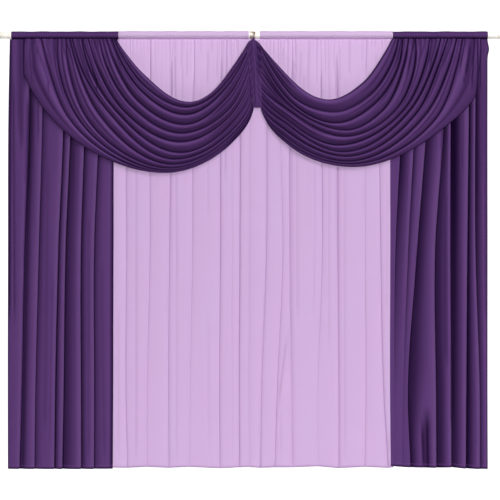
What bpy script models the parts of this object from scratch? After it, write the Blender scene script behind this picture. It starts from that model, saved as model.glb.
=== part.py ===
import bpy
import math
import numpy as np

# driving dimensions, in metres
SET_WIDTH = 2.000
SQUARES_ACROSS = 481.0
SQUARE = SET_WIDTH / SQUARES_ACROSS
AXIS_COLUMN = 250.0
AXIS_ROW = 35.8
POCKET_ROW = 41.0

ROD_RADIUS = 0.0140
ROD_WALL = 0.0010
ROD_HALF = 1.0245
CAP_LENGTH = 0.0330
CAP_PLUG = 0.0250
CAP_RADIUS = 0.0143
SEATED = 0.0003

CLOTH = 0.0014
SLEEVE_OUT = 0.0163
SLEEVE_DROP = 0.0216
SLEEVE_GATHER = 0.0014
PANEL_GAP = 0.0004

CURTAIN_Y = 0.0060
LILAC_Y = 0.0050
SWAG_TOP_Y = -0.0042
SWAG_REACH = 0.0450
SWAG_EASE = 0.1100
SWAG_END_Y = -0.0180

HOOK_X = 0.0140
HOOK_WIDTH = 0.0160
HOOK_RADIUS = 0.0163
EYE_X = 0.0120
EYE_Y = -0.0200
EYE_Z = -0.0070
EYE_RADIUS = 0.0045
EYE_WIRE = 0.0012
LOOP_RADIUS = 0.0050
LOOP_THICK = 0.0015
BAND_Y = -0.0202

# hung cloth, one row a crease: squares across at five heights, hem height, depth in mm
PANEL_COLUMNS = ("top", "knee", "middle", "low", "hem", "hemRow", "deep", "deepLow")
PANEL_ROWS = (41.0, 100.0, 250.0, 400.0, 468.0)
CURTAIN_LEFT = (
    (10.0, 9.0, 8.7, 7.7, 8.0, 468.5, 6, 6),
    (27.0, 27.3, 25.3, 22.3, 20.0, 468.5, 24, 22),
    (42.0, 41.0, 39.3, 36.0, 35.2, 468.5, 18, 16),
    (60.0, 60.2, 59.2, 55.7, 54.8, 468.5, 27, 28),
    (68.0, 68.0, 66.4, 63.8, 62.3, 468.5, 20, 20),
    (82.0, 82.0, 81.0, 81.0, 81.3, 468.5, 26, 26),
    (96.0, 96.0, 95.0, 95.0, 94.0, 468.5, 22, 20),
    (117.5, 112.5, 112.0, 112.0, 111.8, 468.2, -26, -26),
)
CURTAIN_RIGHT = (
    (392.2, 390.6, 390.5, 390.5, 391.0, 465.5, -26, -26),
    (400.0, 399.0, 397.0, 395.0, 396.0, 466.0, 20, 8),
    (411.0, 411.0, 409.0, 402.5, 402.0, 466.0, 16, 6),
    (424.0, 423.5, 419.5, 410.0, 410.0, 466.7, 21, 21),
    (436.0, 433.0, 431.0, 424.0, 423.5, 466.0, 7, 13),
    (443.0, 443.0, 442.5, 437.0, 436.5, 467.3, 23, 23),
    (452.0, 451.0, 451.0, 452.0, 452.0, 466.8, 30, 24),
    (469.0, 469.0, 467.5, 467.0, 467.0, 468.0, 27, 27),
    (477.0, 476.7, 477.0, 480.0, 483.0, 468.5, 23, 14),
    (487.0, 486.8, 487.0, 487.6, 488.0, 468.5, 6, 6),
)
LILAC_LEFT = (
    (119.0, 110.5, 109.5, 109.5, 109.5, 467.0, 16, 16),
    (131.0, 126.5, 125.5, 125.0, 126.5, 467.5, 10, 10),
    (150.0, 149.0, 149.0, 146.0, 146.0, 466.5, 9, 7),
    (171.0, 170.5, 168.5, 167.5, 168.0, 467.5, 10, 8),
    (194.0, 192.0, 191.5, 189.0, 188.5, 466.5, 8, 6),
    (222.0, 220.0, 219.5, 218.5, 219.0, 468.0, 10, 9),
    (236.0, 238.5, 239.0, 238.3, 238.8, 467.0, 9, 9),
    (247.5, 250.0, 250.0, 249.5, 250.0, 466.5, -14, -14),
)
LILAC_RIGHT = (
    (260.5, 247.0, 246.5, 246.5, 246.5, 466.5, 14, 14),
    (268.0, 266.5, 265.5, 260.5, 259.7, 467.5, 10, 8),
    (283.0, 276.0, 279.0, 275.0, 274.0, 467.0, 7, 9),
    (293.0, 289.5, 290.5, 291.5, 291.8, 467.0, 11, 7),
    (320.0, 320.5, 321.5, 316.0, 317.5, 466.0, 9, 5),
    (336.0, 336.5, 337.0, 338.0, 338.0, 467.8, 13, 11),
    (366.0, 364.5, 367.0, 370.0, 364.0, 466.5, 8, 9),
    (384.0, 380.0, 380.0, 383.5, 387.5, 467.5, 9, 10),
    (390.5, 392.0, 393.0, 393.0, 393.0, 467.0, 16, 16),
)

# swags, one row a crease from the upper edge to the hem, in squares, depth in mm
SWAG_COLUMNS = ("head", "dropX", "dropRow", "flankX", "flankRow", "bellyX", "bellyRow",
                "riseX", "riseRow", "endX", "endRow", "deep")
SWAG_LEFT = (
    (117.0, 126.0, 53.5, 144, 75.0, 189, 102.0, 225, 77.0, 251.0, 41.0, 6),
    (114.5, 125.0, 60.0, 144, 86.5, 186, 107.3, 222, 87.0, 250.0, 44.0, 8),
    (111.0, 122.0, 64.0, 141, 91.0, 185, 114.6, 226, 87.5, 249.5, 46.0, 10),
    (106.0, 115.0, 64.0, 138, 101.0, 184, 124.8, 227, 97.0, 249.7, 51.0, 11),
    (99.0, 106.0, 65.0, 132, 107.0, 181, 133.2, 228, 109.5, 250.0, 63.0, 11),
    (88.0, 96.5, 65.0, 125, 112.5, 180, 141.8, 228, 117.5, 250.0, 79.0, 12),
    (81.0, 88.0, 65.0, 116, 111.0, 181, 152.8, 229, 125.5, 250.3, 90.0, 10),
    (72.0, 80.0, 65.0, 109, 112.5, 175, 159.0, 229, 133.0, 250.8, 98.0, 10),
    (69.5, 77.0, 66.0, 100, 115.0, 173, 164.2, 228, 138.0, 251.3, 102.5, 8),
    (65.5, 68.5, 65.0, 89, 121.0, 170, 168.2, 229, 140.3, 252.0, 105.0, 9),
    (57.5, 58.5, 65.0, 80, 121.0, 168, 170.3, 229, 142.3, 252.3, 106.5, 6),
    (41.0, 48.0, 65.0, 69, 116.0, 166.5, 171.8, 229.5, 143.5, 252.7, 107.4, 7),
    (24.0, 24.0, 73.0, 60, 122.0, 165, 172.9, 230, 144.5, 253.0, 108.2, 4),
)
SWAG_RIGHT = (
    (391.5, 383.0, 55.5, 360, 85.0, 328, 100.2, 285, 73.0, 256.0, 41.0, 6),
    (398.0, 390.0, 64.0, 367, 97.0, 333, 112.2, 288, 91.5, 260.0, 45.0, 12),
    (402.0, 398.0, 64.0, 372, 105.0, 334, 123.3, 287, 99.5, 257.5, 51.0, 11),
    (408.0, 403.0, 64.0, 379, 113.0, 345, 130.3, 292, 108.5, 258.5, 68.0, 9),
    (415.0, 413.5, 65.0, 394, 110.5, 344, 136.5, 287, 110.0, 258.5, 84.0, 9),
    (429.0, 424.0, 64.0, 402, 110.5, 337, 145.2, 287, 120.5, 258.5, 90.0, 11),
    (440.0, 432.0, 64.0, 408, 111.0, 342, 152.0, 287, 125.0, 258.5, 96.0, 10),
    (447.0, 437.5, 65.0, 415, 113.0, 345, 156.3, 287, 132.0, 259.0, 100.5, 9),
    (456.0, 448.0, 65.0, 424, 114.5, 347, 161.3, 289, 140.0, 259.5, 104.0, 9),
    (462.0, 456.0, 65.0, 437, 114.5, 350, 164.0, 290, 144.0, 260.0, 106.0, 8),
    (469.0, 465.5, 67.0, 448, 115.5, 351, 165.8, 290, 146.0, 260.5, 107.2, 6),
    (480.0, 479.0, 75.0, 460, 112.0, 352, 167.0, 290, 147.0, 261.0, 108.0, 4),
)

# mesh density
PLEAT_STEPS = (0.0, 0.16, 0.42, 0.70, 0.90)
LILAC_STEPS = (0.0, 0.28, 0.72)
SWAG_STEPS = (0.0, 0.24, 0.66)
PANEL_LEVELS = (0.0, 0.035, 0.09, 0.17, 0.28, 0.46, 0.66, 0.84, 1.0)
SWAG_SPANS = (3, 3, 5, 4, 4)

for old in list(bpy.data.objects):
    bpy.data.objects.remove(old, do_unlink=True)


def across(column):
    return (column - AXIS_COLUMN) * SQUARE


def down(row):
    return (AXIS_ROW - row) * SQUARE


def material(name, colour, rough, metal=0.0):
    made = bpy.data.materials.new(name)
    made.use_nodes = True
    shader = made.node_tree.nodes["Principled BSDF"]
    shader.inputs["Base Color"].default_value = (*colour, 1.0)
    shader.inputs["Roughness"].default_value = rough
    shader.inputs["Metallic"].default_value = metal
    return made


def closed_object(name, verts, faces, mat):
    mesh = bpy.data.meshes.new(name)
    mesh.from_pydata([tuple(float(c) for c in v) for v in verts], [], faces)
    mesh.validate()
    mesh.update()
    volume = 0.0
    for poly in mesh.polygons:
        ids = list(poly.vertices)
        a = mesh.vertices[ids[0]].co
        for k in range(1, len(ids) - 1):
            b = mesh.vertices[ids[k]].co
            c = mesh.vertices[ids[k + 1]].co
            volume += a.dot(b.cross(c)) / 6.0
    if volume < 0.0:
        mesh.flip_normals()
    made = bpy.data.objects.new(name, mesh)
    made.data.materials.append(mat)
    bpy.context.scene.collection.objects.link(made)
    return made


# a cloth sheet of even thickness from a grid of points on its front face
def sheet(name, grid, mat):
    rows, cols = grid.shape[:2]
    along = np.gradient(grid, axis=0)
    beside = np.gradient(grid, axis=1)
    normal = np.cross(along, beside)
    normal /= np.maximum(np.linalg.norm(normal, axis=2, keepdims=True), 1e-12)
    if normal[:, :, 1].mean() > 0.0:
        normal = -normal
    back = grid - normal * CLOTH
    verts = np.concatenate([grid.reshape(-1, 3), back.reshape(-1, 3)])
    total = rows * cols
    faces = []
    for i in range(rows - 1):
        for j in range(cols - 1):
            a = i * cols + j
            quad = (a, a + 1, a + cols + 1, a + cols)
            faces.append(quad)
            faces.append(tuple(total + k for k in reversed(quad)))
    ring = [j for j in range(cols)]
    ring += [i * cols + cols - 1 for i in range(1, rows)]
    ring += [(rows - 1) * cols + j for j in range(cols - 2, -1, -1)]
    ring += [i * cols for i in range(rows - 2, 0, -1)]
    for k, a in enumerate(ring):
        b = ring[(k + 1) % len(ring)]
        faces.append((b, a, total + a, total + b))
    return closed_object(name, verts, faces, mat)


# full towards the front, tight at both creases
def puff(v, peak, power):
    side = np.where(v < peak, 1.0 - v / peak, (v - peak) / (1.0 - peak))
    return (1.0 - np.clip(side, 0.0, 1.0) ** power) ** (1.0 / power)


def hung_panel(name, table, mat, centre, steps, peak, heading):
    grid = []
    creases = [dict(zip(PANEL_COLUMNS, row)) for row in table]
    for level in PANEL_LEVELS:
        points = []
        for left, right in zip(creases[:-1], creases[1:]):
            last = right is creases[-1]
            for v in steps + ((1.0,) if last else ()):
                spots = []
                for crease in (left, right):
                    row = POCKET_ROW + level * (crease["hemRow"] - POCKET_ROW)
                    column = np.interp(row, PANEL_ROWS, [crease[c] for c in PANEL_COLUMNS[:5]])
                    deep = np.interp(row, (165.0, 400.0), (crease["deep"], crease["deepLow"]))
                    spots.append((across(column), down(row), deep * 0.001))
                (xa, za, da), (xb, zb, db) = spots
                fall = -(za + (zb - za) * v) - SLEEVE_DROP
                grow = min(1.0, max(0.0, fall / 0.230))
                grow = 0.10 + 0.90 * grow * grow * (3.0 - 2.0 * grow)
                back = (da + (db - da) * v) * 0.5 * grow
                ridge = -0.25 * (abs(da) + abs(db)) * grow
                fullness = float(puff(np.array(v), peak, 2.2))
                y = centre + back + (ridge - back) * fullness
                points.append((xa + (xb - xa) * v, y, za + (zb - za) * v))
        grid.append(points)
    grid = np.array(grid)
    grid[0, :, 2] = -heading
    return sheet(name, grid, mat)


# one crease line of a swag, from its heading to the centre column
def crease_line(row, corner):
    c = dict(zip(SWAG_COLUMNS, row))
    knots = np.array([
        (across(c["head"]), down(POCKET_ROW)),
        (across(c["dropX"]), down(c["dropRow"])),
        (across(c["flankX"]), down(c["flankRow"])),
        (across(c["bellyX"]), down(c["bellyRow"])),
        (across(c["riseX"]), down(c["riseRow"])),
        (across(c["endX"]), down(c["endRow"])),
    ])
    length = np.linalg.norm(np.diff(knots, axis=0), axis=1)
    slope = np.diff(knots, axis=0) / length[:, None]
    tangent = [slope[0]]
    for i in range(1, 5):
        mixed = slope[i - 1] * length[i] + slope[i] * length[i - 1]
        tangent.append(mixed / (length[i] + length[i - 1]))
    tangent.append(slope[-1] * 1.5 - tangent[4] * 0.5)
    tangent[0] = slope[0] * 1.5 - tangent[1] * 0.5
    tangent[3] = np.array((math.copysign(1.0, knots[5, 0] - knots[0, 0]), 0.0))
    points = []
    for i, spans in enumerate(SWAG_SPANS):
        start = tangent[i]
        finish = tangent[i + 1]
        if corner and i == 0:
            finish = slope[0]
        if corner and i == 1:
            start = slope[0] * 0.45 + slope[1] * 0.55
        for k in range(spans + (1 if i == 4 else 0)):
            u = k / spans
            a = (2 * u ** 3 - 3 * u ** 2 + 1) * knots[i]
            b = (u ** 3 - 2 * u ** 2 + u) * length[i] * start
            d = (3 * u ** 2 - 2 * u ** 3) * knots[i + 1]
            e = (u ** 3 - u ** 2) * length[i] * finish
            points.append(a + b + d + e)
    return np.array(points)


def swag(name, table, mat):
    lines = [crease_line(row, row is table[-1]) for row in table]
    count = len(lines[0])
    columns = []
    for i in range(len(lines) - 1):
        last = i == len(lines) - 2
        deep = 0.0005 * (table[i][-1] + table[i + 1][-1])
        for v in SWAG_STEPS + ((1.0,) if last else ()):
            flat = lines[i] * (1.0 - v) + lines[i + 1] * v
            width = np.linalg.norm(lines[i + 1] - lines[i], axis=1)
            steps = np.linalg.norm(np.diff(flat, axis=0), axis=1)
            run = np.concatenate([[0.0], np.cumsum(steps)])
            left = run[-1] - run
            base = SWAG_TOP_Y - SWAG_REACH * (1.0 - np.exp(-run / SWAG_EASE))
            near = np.clip(left / 0.24, 0.0, 1.0)
            near = near * near * (3.0 - 2.0 * near)
            base = SWAG_END_Y + (base - SWAG_END_Y) * np.where(run > left, near, 1.0)
            rise = np.clip(run / 0.16, 0.06, 1.0) * np.clip(left / 0.16, 0.04, 1.0)
            depth = np.minimum(deep * rise, 0.30 * width)
            y = base - depth * float(puff(np.array(v), 0.5, 2.0))
            columns.append(np.stack([flat[:, 0], y, flat[:, 1]], axis=1))
    grid = np.array(columns).transpose(1, 0, 2)
    return sheet(name, grid, mat)


# rod pocket, a closed sleeve of cloth around the rod, slack below it
def sleeve(name, first, last, gathers, mat):
    stations = np.linspace(across(first), across(last), gathers + 1)
    angles = (90, 120, 150, 180, 205, "back", "front", 335, 360, 390, 420)
    rings_out = []
    rings_in = []
    for k, x in enumerate(stations):
        swell = SLEEVE_GATHER * (k % 2)
        outer = []
        inner = []
        for angle in angles:
            if angle in ("back", "front"):
                side = -1.0 if angle == "back" else 1.0
                outer.append((side * 0.0070, -SLEEVE_DROP))
                inner.append((side * 0.0052, -SLEEVE_DROP + 0.0020))
                continue
            c = math.cos(math.radians(angle))
            s = math.sin(math.radians(angle))
            tight = (ROD_RADIUS + SEATED) / math.cos(math.radians(15.0))
            outer.append((c * (SLEEVE_OUT + swell), s * (SLEEVE_OUT + swell)))
            inner.append((c * tight, s * tight))
        rings_out.append([(x, y, z) for y, z in outer])
        rings_in.append([(x, y, z) for y, z in inner])
    n = len(angles)
    verts = [p for ring in rings_out for p in ring] + [p for ring in rings_in for p in ring]
    half = len(stations) * n
    faces = []
    for i in range(len(stations) - 1):
        for j in range(n):
            a = i * n + j
            b = i * n + (j + 1) % n
            faces.append((a, b, b + n, a + n))
            faces.append((half + a, half + a + n, half + b + n, half + b))
    for i in (0, len(stations) - 1):
        for j in range(n):
            a = i * n + j
            b = i * n + (j + 1) % n
            quad = (a, half + a, half + b, b)
            faces.append(quad if i == 0 else tuple(reversed(quad)))
    return closed_object(name, verts, faces, mat)


# a solid of revolution about the rod axis from a closed outline of (x, radius)
def lathe(name, outline, segments, mat):
    n = len(outline)
    verts = []
    for k in range(segments):
        angle = 2.0 * math.pi * k / segments
        for x, r in outline:
            verts.append((x, r * math.cos(angle), r * math.sin(angle)))
    faces = []
    for k in range(segments):
        for j in range(n):
            a = k * n + j
            b = k * n + (j + 1) % n
            c = ((k + 1) % segments) * n + (j + 1) % n
            d = ((k + 1) % segments) * n + j
            faces.append((a, b, c, d))
    return closed_object(name, verts, faces, mat)


def torus(name, centre, axis, major, minor, around, across_ring, mat):
    verts = []
    for k in range(around):
        a = 2.0 * math.pi * k / around
        for j in range(across_ring):
            b = 2.0 * math.pi * j / across_ring
            reach = major + minor * math.cos(b)
            flat = (reach * math.cos(a), reach * math.sin(a), minor * math.sin(b))
            if axis == "x":
                spot = (flat[2], flat[0], flat[1])
            else:
                spot = (flat[0], flat[2], flat[1])
            verts.append(tuple(c + s for c, s in zip(centre, spot)))
    faces = []
    for k in range(around):
        for j in range(across_ring):
            a = k * across_ring + j
            b = k * across_ring + (j + 1) % across_ring
            c = ((k + 1) % around) * across_ring + (j + 1) % across_ring
            d = ((k + 1) % around) * across_ring + j
            faces.append((a, b, c, d))
    return closed_object(name, verts, faces, mat)


def joined(body, extra):
    cut = body.modifiers.new("join", "BOOLEAN")
    cut.operation = "UNION"
    cut.solver = "EXACT"
    cut.object = extra
    graph = bpy.context.evaluated_depsgraph_get()
    mesh = bpy.data.meshes.new_from_object(body.evaluated_get(graph))
    body.modifiers.clear()
    body.data = mesh
    bpy.data.objects.remove(extra, do_unlink=True)
    return body


purple = material("purple_jersey", (0.110, 0.047, 0.170), 0.85)
lilac = material("lilac_jersey", (0.640, 0.440, 0.700), 0.85)
enamel = material("rod_enamel", (0.880, 0.860, 0.800), 0.35)
plastic = material("cap_plastic", (0.860, 0.840, 0.780), 0.45)
brass = material("hook_brass", (0.560, 0.400, 0.160), 0.30, 1.0)

# rod, a hollow tube
tube = [(-ROD_HALF, ROD_RADIUS), (ROD_HALF, ROD_RADIUS)]
tube += [(ROD_HALF, ROD_RADIUS - ROD_WALL), (-ROD_HALF, ROD_RADIUS - ROD_WALL)]
lathe("rod", tube, 24, enamel)

# plug caps, pushed into both ends, with a flat outer face
for side, name in ((-1.0, "rod_cap_left"), (1.0, "rod_cap_right")):
    inner = ROD_RADIUS - ROD_WALL - SEATED
    shoulder = ROD_HALF + SEATED
    end = shoulder + CAP_LENGTH
    bore = inner - 0.0018
    outline = [
        (side * (shoulder - CAP_PLUG), inner),
        (side * shoulder, inner),
        (side * shoulder, CAP_RADIUS),
        (side * (end - 0.002), CAP_RADIUS),
        (side * end, CAP_RADIUS - 0.002),
        (side * end, 0.0),
        (side * (shoulder + 0.004), 0.0),
        (side * (shoulder + 0.004), bore),
        (side * (shoulder - CAP_PLUG), bore),
    ]
    segments = 24
    verts = []
    index = []
    for k in range(segments):
        angle = 2.0 * math.pi * k / segments
        ids = []
        for j, (x, r) in enumerate(outline):
            if r == 0.0 and k > 0:
                ids.append(index[0][j])
                continue
            ids.append(len(verts))
            verts.append((x, r * math.cos(angle), r * math.sin(angle)))
        index.append(ids)
    faces = []
    for k in range(segments):
        one = index[k]
        two = index[(k + 1) % segments]
        for j in range(len(outline)):
            n = (j + 1) % len(outline)
            quad = [one[j], one[n], two[n], two[j]]
            clean = [v for i, v in enumerate(quad) if v not in quad[:i]]
            if len(clean) > 2:
                faces.append(tuple(clean))
    closed_object(name, verts, faces, plastic)

def block(name, low, high, mat):
    verts = [(x, y, z) for x in (low[0], high[0]) for y in (low[1], high[1]) for z in (low[2], high[2])]
    faces = [(0, 1, 3, 2), (4, 6, 7, 5), (0, 4, 5, 1), (2, 3, 7, 6), (0, 2, 6, 4), (1, 5, 7, 3)]
    return closed_object(name, verts, faces, mat)


# brass clip around the rod with a lug on top, and an eye on a short stem in front
ring = [(HOOK_X - HOOK_WIDTH / 2, HOOK_RADIUS), (HOOK_X + HOOK_WIDTH / 2, HOOK_RADIUS)]
ring += [(HOOK_X + HOOK_WIDTH / 2, ROD_RADIUS + SEATED)]
ring += [(HOOK_X - HOOK_WIDTH / 2, ROD_RADIUS + SEATED)]
hook = lathe("centre_hook", ring, 24, brass)
lug = block("lug", (HOOK_X - 0.0072, -0.0035, 0.0152), (HOOK_X + 0.0016, 0.0035, 0.0215), brass)
hook = joined(hook, lug)
stem = block("stem", (EYE_X - 0.0015, -0.0204, -0.0038), (EYE_X + 0.0015, -0.0156, -0.0016), brass)
hook = joined(hook, stem)
eye = torus("eye", (EYE_X, EYE_Y, EYE_Z), "y", EYE_RADIUS, EYE_WIRE, 16, 8, brass)
hook = joined(hook, eye)

# cloth loop through the eye, above the centre band
loop_z = EYE_Z - EYE_RADIUS + EYE_WIRE + SEATED + LOOP_THICK - LOOP_RADIUS
torus("hanging_loop", (EYE_X, EYE_Y, loop_z), "x", LOOP_RADIUS, LOOP_THICK, 16, 8, purple)

# rod pockets
sleeve("heading_left", 11.0, 118.0, 22, purple)
sleeve("heading_right", 392.0, 487.0, 20, purple)
sleeve("lilac_heading_left", 118.2, 247.5, 20, lilac)
sleeve("lilac_heading_right", 260.5, 391.8, 20, lilac)

# hung cloth
seam = SLEEVE_DROP + PANEL_GAP
hung_panel("curtain_left", CURTAIN_LEFT, purple, CURTAIN_Y, PLEAT_STEPS, 0.78, seam)
hung_panel("curtain_right", CURTAIN_RIGHT, purple, CURTAIN_Y, PLEAT_STEPS, 0.78, seam)
hung_panel("lilac_left", LILAC_LEFT, lilac, LILAC_Y, LILAC_STEPS, 0.5, seam)
hung_panel("lilac_right", LILAC_RIGHT, lilac, LILAC_Y, LILAC_STEPS, 0.5, seam)

# swags
swag("swag_left", SWAG_LEFT, purple)
swag("swag_right", SWAG_RIGHT, purple)

# ruched centre band over the ends of both swags
BAND_TOP = loop_z - LOOP_RADIUS - LOOP_THICK - SEATED
BAND_BOTTOM = down(107.6)
band = []
for i in range(15):
    t = i / 14.0
    z = BAND_TOP + (BAND_BOTTOM - BAND_TOP) * t
    half = 0.5 * SQUARE * np.interp(t, (0.0, 0.12, 0.45, 1.0), (6.5, 10.5, 12.0, 14.0))
    middle = across(np.interp(t, (0.0, 1.0), (253.4, 255.0)))
    ruche = 0.0012 * (i % 2) * (0.0 if i in (0, 14) else 1.0)
    row = []
    for j in range(9):
        u = -1.0 + j / 4.0
        bulge = math.cos(u * math.pi * 0.5) * (0.0008 + 0.0060 * min(1.0, t * 5.0))
        wave = 0.0010 * (1 if j % 2 else 0) * min(1.0, t * 6.0)
        y = BAND_Y - 0.0050 * min(1.0, t * 6.0) - bulge - ruche - wave
        row.append((middle + half * u, y, z))
    band.append(row)
sheet("swag_centre_band", np.array(band), purple)

for made in bpy.data.objects:
    made.data.name = made.name
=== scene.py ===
import math
import bmesh
import bpy
import numpy as np
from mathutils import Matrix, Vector


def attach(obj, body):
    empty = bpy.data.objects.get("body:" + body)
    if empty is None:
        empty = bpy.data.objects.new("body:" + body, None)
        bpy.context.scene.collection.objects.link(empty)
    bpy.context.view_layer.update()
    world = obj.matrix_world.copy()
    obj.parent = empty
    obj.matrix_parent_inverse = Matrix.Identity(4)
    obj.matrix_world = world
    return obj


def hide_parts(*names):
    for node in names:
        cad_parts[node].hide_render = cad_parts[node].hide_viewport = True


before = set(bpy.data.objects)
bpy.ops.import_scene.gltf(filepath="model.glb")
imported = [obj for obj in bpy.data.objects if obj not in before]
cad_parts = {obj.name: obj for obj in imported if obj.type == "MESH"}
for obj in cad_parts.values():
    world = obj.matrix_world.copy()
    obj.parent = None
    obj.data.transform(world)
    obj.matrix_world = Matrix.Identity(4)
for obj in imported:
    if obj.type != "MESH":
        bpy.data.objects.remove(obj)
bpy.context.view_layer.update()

# The set is drawn on squares: 481 of them make its 2 metres, counted across and down.
squares = {
    "setWidth": 2.000,
    "squaresAcross": 481.0,
    "rodColumn": 250.0,     # the middle of the rod
    "rodRow": 34.9,         # the rod's axis
    "pocketRow": 38.4,      # the lower edge of the rod pockets
}
square = squares["setWidth"] / squares["squaresAcross"]
fullTurn = 2.0 * math.pi


def across(column):
    return (column - squares["rodColumn"]) * square


def down(row):
    return (squares["rodRow"] - row) * square


def within(value):
    return np.clip(value, 0.0, 1.0)


def easy(value):
    value = within(value)
    return value * value * (3.0 - 2.0 * value)


# a curve from start to finish that leaves and arrives along two given steps
def curveBetween(u, start, leave, finish, arrive):
    ends = (2 * u ** 3 - 3 * u ** 2 + 1) * start + (3 * u ** 2 - 2 * u ** 3) * finish
    return ends + (u ** 3 - 2 * u ** 2 + u) * leave + (u ** 3 - u ** 2) * arrive


# a smooth line through a few knots, read at any places between them
def smoothLine(knots, values, places):
    knots = np.asarray(knots, float)
    values = np.asarray(values, float)
    gaps = np.diff(knots)
    slopes = np.diff(values) / gaps
    tangents = np.empty(len(knots))
    tangents[1:-1] = (slopes[:-1] * gaps[1:] + slopes[1:] * gaps[:-1]) / (gaps[:-1] + gaps[1:])
    tangents[0] = slopes[0]
    tangents[-1] = slopes[-1]
    places = np.clip(np.asarray(places, float), knots[0], knots[-1])
    spot = np.clip(np.searchsorted(knots, places, side="right") - 1, 0, len(gaps) - 1)
    u = (places - knots[spot]) / gaps[spot]
    leave = gaps[spot] * tangents[spot]
    arrive = gaps[spot] * tangents[spot + 1]
    return curveBetween(u, values[spot], leave, values[spot + 1], arrive)


# even steps along a fold's section: how far across it, and how far forward
def foldSteps(section, count):
    shape = np.array(section)
    reach = np.concatenate([[0.0], np.cumsum(np.linalg.norm(np.diff(shape, axis=0), axis=1))])
    steps = np.linspace(0.0, reach[-1], count + 1)
    forward = within(smoothLine(reach, shape[:, 1], steps))
    return list(zip(smoothLine(reach, shape[:, 0], steps), forward))


# a soft bump of height 1 round nought
def hump(distance, wide):
    return np.exp(-(distance / wide) ** 2)


# One output socket, so that sums on it add their Math nodes.
class Wire:
    def __init__(self, tree, socket=None):
        self.tree = tree
        self.socket = socket

    def node(self, kind, settings=None, sockets=None, output=0):
        made = self.tree.nodes.new("ShaderNode" + kind)
        for key, value in (settings or {}).items():
            if key == "stops":
                ramp = made.color_ramp
                while len(ramp.elements) < len(value):
                    ramp.elements.new(0.5)
                for element, (place, colour) in zip(ramp.elements, value):
                    element.position = place
                    element.color = (*colour, 1.0)
            else:
                setattr(made, key, value)
        for key, value in (sockets or {}).items():
            if isinstance(value, Wire):
                self.tree.links.new(value.socket, made.inputs[key])
            else:
                made.inputs[key].default_value = value
        return Wire(self.tree, made.outputs[output])

    def maths(self, operation, first, second=0.0):
        return self.node("Math", {"operation": operation}, {0: first, 1: second})

    def __add__(self, other):
        return self.maths("ADD", self, other)

    def __radd__(self, other):
        return self.maths("ADD", other, self)

    def __sub__(self, other):
        return self.maths("SUBTRACT", self, other)

    def __rsub__(self, other):
        return self.maths("SUBTRACT", other, self)

    def __mul__(self, other):
        return self.maths("MULTIPLY", self, other)

    def __rmul__(self, other):
        return self.maths("MULTIPLY", other, self)

    def held(self):
        return self.node("Clamp", None, {0: self})

    def blend(self, first, second):
        return self.node("Mix", {"data_type": "RGBA"}, {0: self, 6: first, 7: second}, 2)


def colour(red, green, blue):
    return (red, green, blue, 1.0)


# a material whose nodes start from an empty Principled shader
def newMaterial(name):
    made = bpy.data.materials.new(name)
    made.use_nodes = True
    shader = made.node_tree.nodes["Principled BSDF"]
    return made, shader, Wire(made.node_tree)


def plug(wire, shader, name):
    wire.tree.links.new(wire.socket, shader.inputs[name])


purpleCloth = {
    "name": "purpleJersey",
    "face": colour(0.081, 0.034, 0.139),
    "worn": colour(0.104, 0.040, 0.151),
    # crease is the painted shade colour, ridge the painted highlight colour
    "crease": colour(0.007, 0.0006, 0.020),
    "ridge": colour(0.138, 0.072, 0.198),
    "roughness": 0.86,
    "sheen": 0.012,
    "specular": 0.035,
    "sheenTint": colour(0.40, 0.24, 0.62),
    "creaseShade": 1.0,
}
lilacCloth = {
    "name": "lilacJersey",
    "face": colour(0.524, 0.368, 0.604),
    "worn": colour(0.556, 0.354, 0.588),
    # crease is the painted shade colour, ridge the painted highlight colour
    "crease": colour(0.290, 0.165, 0.350),
    "ridge": colour(0.612, 0.422, 0.674),
    "roughness": 0.88,
    "sheen": 0.03,
    "specular": 0.10,
    "sheenTint": colour(0.90, 0.82, 0.96),
    "creaseShade": 0.75,
}
rodInCloth = colour(0.560, 0.410, 0.610)     # thin cloth with the rod right behind it


# Knitted jersey: fine ribs along the cloth, soft slubs, painted shade where the folds close and
# painted highlight on their ridges, both from the fold attribute.
def jersey(look, overRod=False):
    made, shader, wire = newMaterial(look["name"] + ("OverRod" if overRod else ""))
    cloth = wire.node("UVMap", {"uv_map": "cloth"})
    folds = wire.node("Attribute", {"attribute_name": "fold"}, output=2)
    wide = wire.node("VectorMath", {"operation": "MULTIPLY"}, {0: cloth, 1: (9.0, 2.2, 1.0)})
    drift = wire.node("TexNoise", None, {"Vector": wide, "Scale": 1.0, "Detail": 4.0})
    fine = wire.node("VectorMath", {"operation": "MULTIPLY"}, {0: cloth, 1: (620.0, 90.0, 1.0)})
    slub = wire.node("TexNoise", None, {"Vector": fine, "Scale": 1.0, "Detail": 2.0})
    ribs = wire.node("TexWave", {"bands_direction": "X"},
                     {"Vector": cloth, "Scale": 190.0, "Distortion": 0.6, "Detail": 1.0})
    shade = (drift * 0.75 + slub * 0.25 - 0.18).held()
    face = shade.blend(look["face"], look["worn"])
    if overRod:
        place = wire.node("TexCoord", None, None, 3)
        height = wire.node("SeparateXYZ", None, {0: place}, 2)
        band = wire.node("ValToRGB", {"stops": overRodStops}, {0: height * 20.0 + 0.5})
        face = wire.node("RGBToBW", None, {0: band}).blend(face, rodInCloth)
    # painted highlight: where the fold attribute is below nought the colour turns toward the ridge
    # colour
    face = (folds * -1.0).held().blend(face, look["ridge"])
    # painted shade: where it is above nought the colour turns toward the dark crease colour
    closed = (folds * look["creaseShade"]).held()
    plug(closed.blend(face, look["crease"]), shader, "Base Color")
    plug(slub * 0.10 + (look["roughness"] - 0.05), shader, "Roughness")
    grain = ribs * 0.35 + slub * 0.65
    bump = wire.node("Bump", None, {"Strength": 0.22, "Distance": 0.0005, "Height": grain})
    plug(bump, shader, "Normal")
    shader.inputs["Sheen Weight"].default_value = look["sheen"]
    shader.inputs["Sheen Roughness"].default_value = 0.5
    shader.inputs["Sheen Tint"].default_value = look["sheenTint"]
    shader.inputs["Specular IOR Level"].default_value = look["specular"]
    return made


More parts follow.
